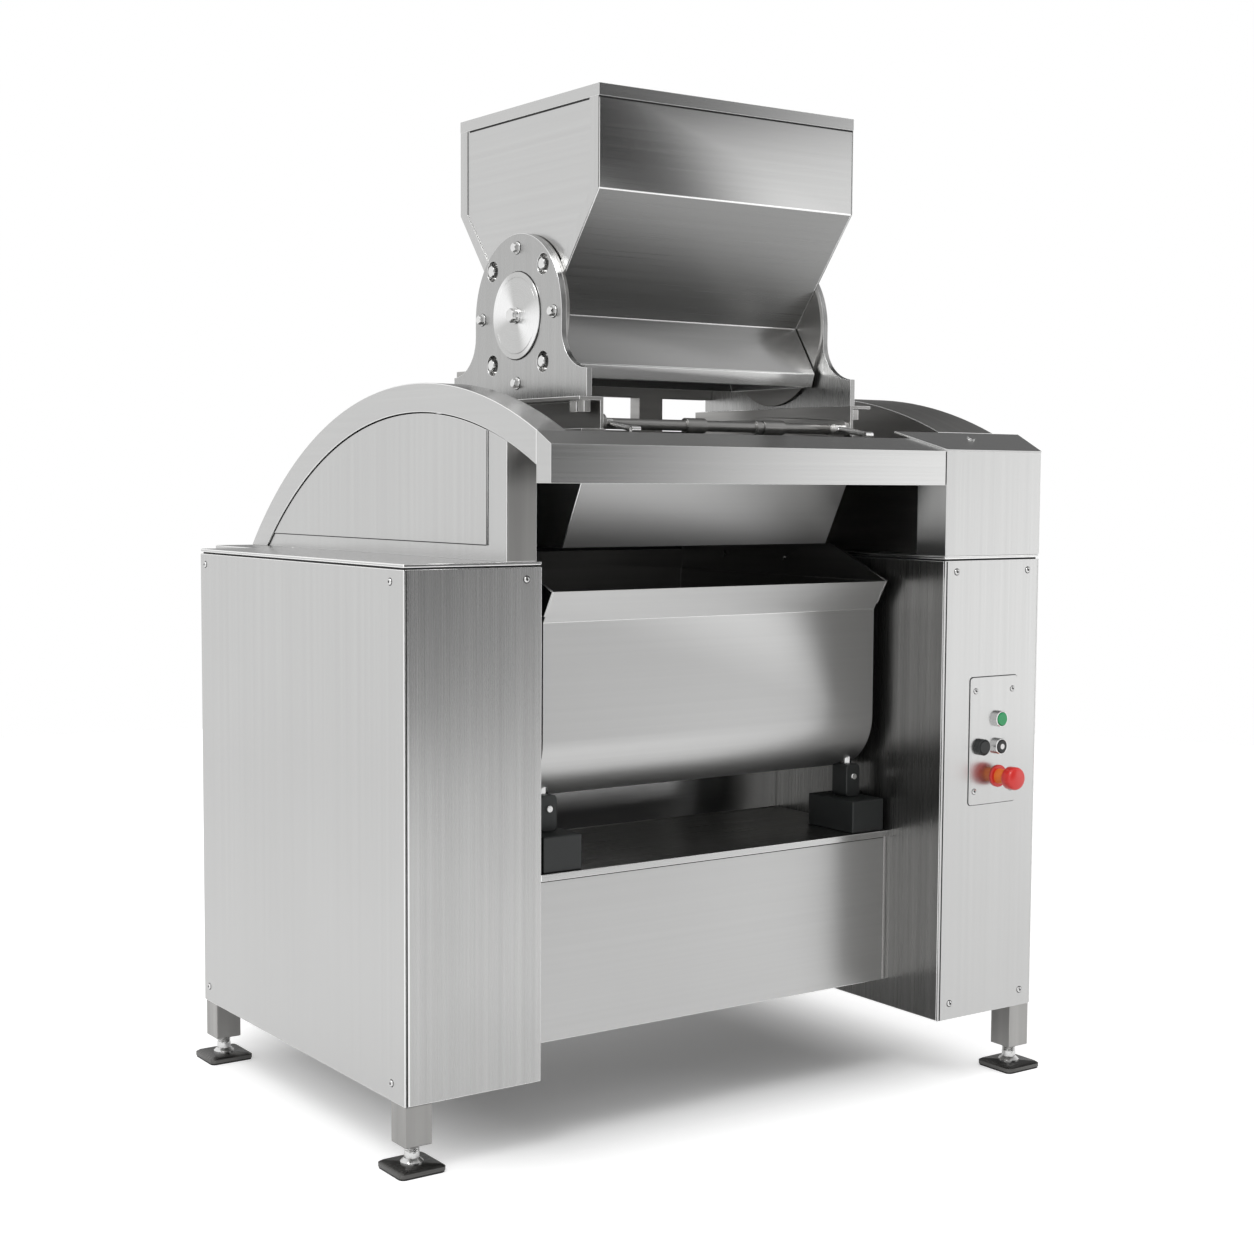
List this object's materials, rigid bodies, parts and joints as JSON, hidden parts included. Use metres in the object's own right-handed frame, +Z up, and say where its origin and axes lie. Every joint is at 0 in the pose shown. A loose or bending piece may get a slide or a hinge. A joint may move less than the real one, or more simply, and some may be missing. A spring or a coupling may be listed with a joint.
{
  "type": "z-blade mixer",
  "caption": "Twin-shaft z-blade dough mixer: flap-gated hopper on trunnion plates over a liner trough between two drive columns, with arched guards, shelf and push buttons.",
  "frame": {"origin": "on the floor, at the centre of the overall box", "axes": "+Z up, -Y towards the operator side with the push buttons, +X towards the column that carries them"},
  "size_m": [1.23, 1.1021, 1.6617],
  "materials": {
    "panel_steel": "brushed stainless steel",
    "frame_steel": "mill finish stainless steel",
    "dull_steel": "bead blasted stainless steel",
    "bright_steel": "polished stainless steel",
    "seal_rubber": "matt",
    "belt_rubber": "matt",
    "black_plastic": "satin black",
    "green_plastic": "gloss",
    "red_plastic": "gloss",
    "cast_iron": "machined",
    "motor_paint": "painted"
  },
  "bodies": {
    "machine": {"column_frames": "frame_steel", "legs": "frame_steel", "foot_spindles": "bright_steel", "foot_pads": "panel_steel", "left_side_panel": "panel_steel", "left_front_panel": "panel_steel", "left_inner_panel": "panel_steel", "right_side_panel": "panel_steel", "right_front_panel": "panel_steel", "right_inner_panel": "panel_steel", "rear_panels": "panel_steel", "rear_housings": "panel_steel", "lid_seals": "seal_rubber", "lids": "panel_steel", "panel_screws": "bright_steel", "left_guard_box": "panel_steel", "left_arch_band": "panel_steel", "front_beam": "panel_steel", "right_upper_box": "panel_steel", "right_arch_cover": "dull_steel", "top_deck": "dull_steel", "rear_upper_panel": "dull_steel", "hopper_shell": "panel_steel", "hopper_rim": "panel_steel", "hopper_edge_strips": "panel_steel", "saddles": "panel_steel", "trunnion_plates": "panel_steel", "trunnion_flanges": "panel_steel", "trunnion_caps": "panel_steel", "trunnion_bolts": "bright_steel", "rear_rail": "dull_steel", "saddle_linkage": "dull_steel", "stay_rods": "bright_steel", "feed_chute": "panel_steel", "trough_shell": "panel_steel", "trough_liner": "panel_steel", "trough_cheeks": "panel_steel", "door_hinge": "bright_steel", "rotor_bearings": "cast_iron", "gear_motor": "motor_paint", "drive_belt": "belt_rubber", "shelf": "panel_steel", "apron": "panel_steel", "cross_beams": "frame_steel", "rest_blocks": "black_plastic", "clevises": "panel_steel", "control_plate": "panel_steel"},
    "front_rotor": {"front_rotor": "panel_steel", "front_gear": "cast_iron", "belt_wheel": "cast_iron"},
    "rear_rotor": {"rear_rotor": "panel_steel", "rear_gear": "cast_iron"},
    "drive_pulley": {"drive_pulley": "cast_iron"},
    "gate": {"gate_shaft": "bright_steel", "gate_flap": "panel_steel"},
    "discharge_door": {"discharge_door": "panel_steel"},
    "start_button": {"start_button": "green_plastic"},
    "inch_button": {"inch_button": "black_plastic"},
    "stop_button": {"stop_button": "black_plastic"},
    "halt_button": {"halt_button": "red_plastic"}
  },
  "joints": [
    {"name": "rear_rotor_spin", "type": "hinge", "parent": "machine", "child": "rear_rotor", "pos_m": [0, 0.074, 0.688], "axis": [1, 0, 0], "continuous": true},
    {"name": "front_rotor_spin", "type": "hinge", "parent": "machine", "child": "front_rotor", "pos_m": [0, -0.206, 0.688], "axis": [1, 0, 0], "continuous": true},
    {"name": "drive_pulley_spin", "type": "hinge", "parent": "machine", "child": "drive_pulley", "pos_m": [0, -0.206, 0.27], "axis": [1, 0, 0], "continuous": true},
    {"name": "gate_turn", "type": "hinge", "parent": "machine", "child": "gate", "pos_m": [0, -0.166, 1.31771], "axis": [1, 0, 0], "range_deg": [-80, 0]},
    {"name": "discharge_door_swing", "type": "hinge", "parent": "machine", "child": "discharge_door", "pos_m": [0, 0.2283, 0.795], "axis": [1, 0, 0], "range_deg": [0, 100]},
    {"name": "start_press", "type": "slide", "parent": "machine", "child": "start_button", "axis": [0, 1, 0], "range_m": [0, 0.004], "stiffness_N_per_m": 400, "springref_m": -0.004},
    {"name": "inch_press", "type": "slide", "parent": "machine", "child": "inch_button", "axis": [0, 1, 0], "range_m": [0, 0.004], "stiffness_N_per_m": 400, "springref_m": -0.004},
    {"name": "stop_press", "type": "slide", "parent": "machine", "child": "stop_button", "axis": [0, 1, 0], "range_m": [0, 0.004], "stiffness_N_per_m": 400, "springref_m": -0.004},
    {"name": "halt_press", "type": "slide", "parent": "machine", "child": "halt_button", "axis": [0, 1, 0], "range_m": [0, 0.005]}
  ],
  "couplings": [
    {"joint": "front_rotor_spin", "follows": "rear_rotor_spin", "ratio": -1.5},
    {"joint": "drive_pulley_spin", "follows": "rear_rotor_spin", "ratio": -4.5}
  ]
}
